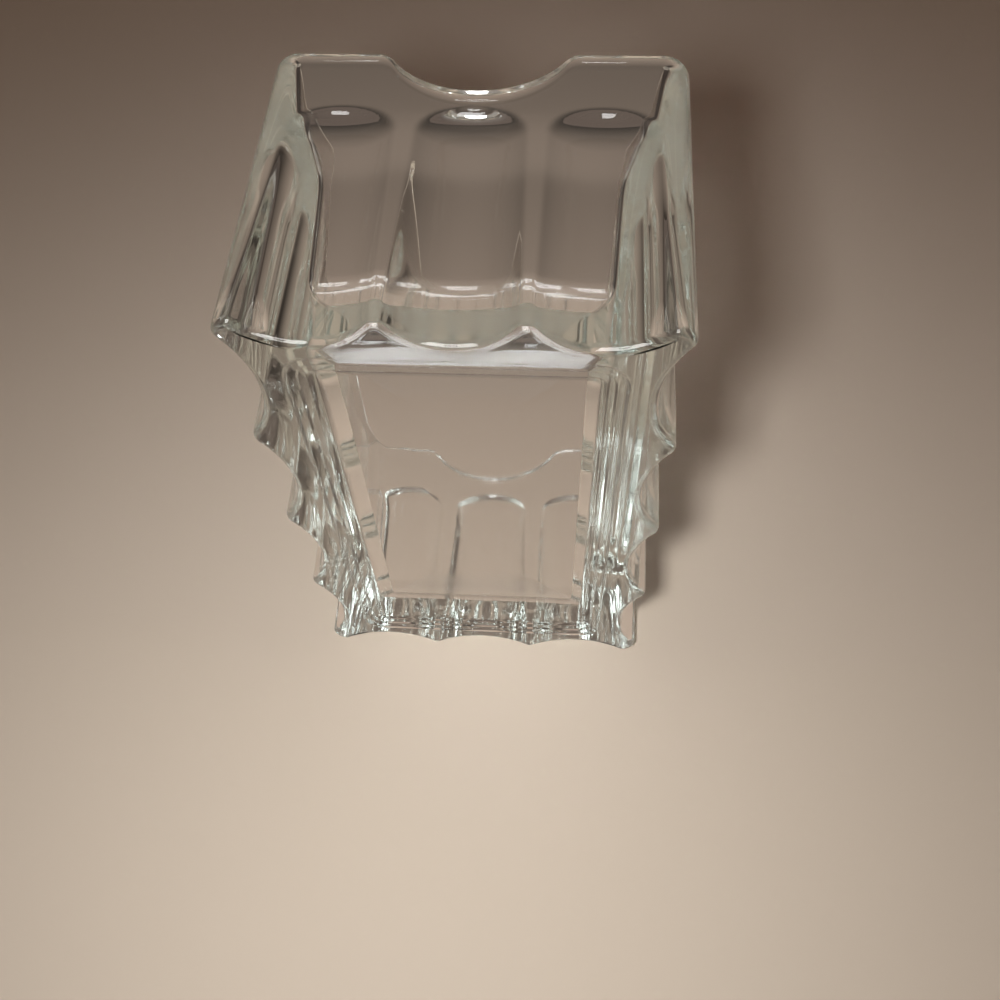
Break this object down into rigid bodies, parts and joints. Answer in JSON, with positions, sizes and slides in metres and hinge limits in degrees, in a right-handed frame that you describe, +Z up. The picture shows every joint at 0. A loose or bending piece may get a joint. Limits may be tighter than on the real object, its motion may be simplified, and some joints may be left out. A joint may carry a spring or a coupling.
{
  "type": "sugar packet holder",
  "caption": "Open rectangular pressed-glass holder with fluted walls and scooped end rims, made to stand on a table with sugar packets upright in it",
  "frame": {"origin": "centre of the base, in the plane of the table", "axes": "+X across the holder, +Y along its length from one scooped short wall to the other, +Z up through the open top"},
  "size_m": [0.057, 0.086, 0.049],
  "materials": {
    "clear_glass": "clear pressed glass, fire-polished rim, faint green in thick sections"
  },
  "bodies": {
    "root": {"glass_body": "clear_glass"}
  },
  "joints": []
}
